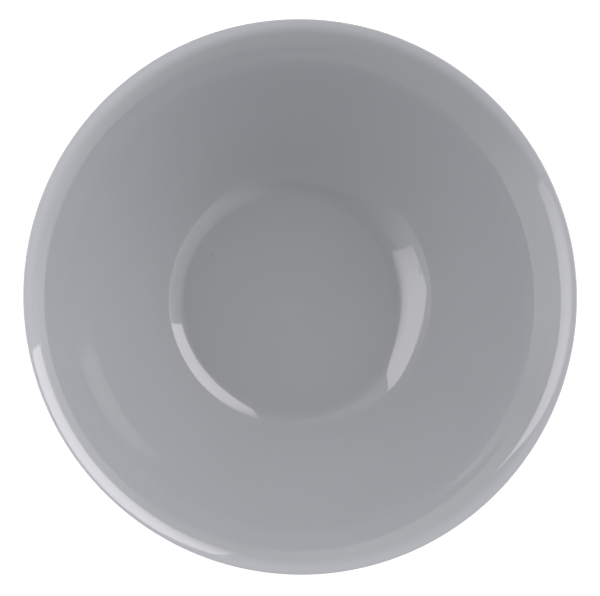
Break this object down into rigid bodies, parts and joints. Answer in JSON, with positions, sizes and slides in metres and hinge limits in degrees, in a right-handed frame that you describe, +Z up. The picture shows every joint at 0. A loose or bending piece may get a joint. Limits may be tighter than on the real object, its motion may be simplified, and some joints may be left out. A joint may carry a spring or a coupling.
{
  "type": "serving bowl",
  "caption": "Deep round one-piece serving bowl with a flat floor, curved wall, flared rounded lip and a hollow foot ring.",
  "frame": {"origin": "on the bowl's axis, at the level of the foot ring's sole", "axes": "+Z up along the bowl's axis; X and Y are interchangeable, because the bowl is round"},
  "size_m": [0.28, 0.28, 0.0862],
  "materials": {
    "bowl_plastic": "gloss, light blue-grey, moulded"
  },
  "bodies": {
    "root": {"bowl": "bowl_plastic"}
  },
  "joints": []
}
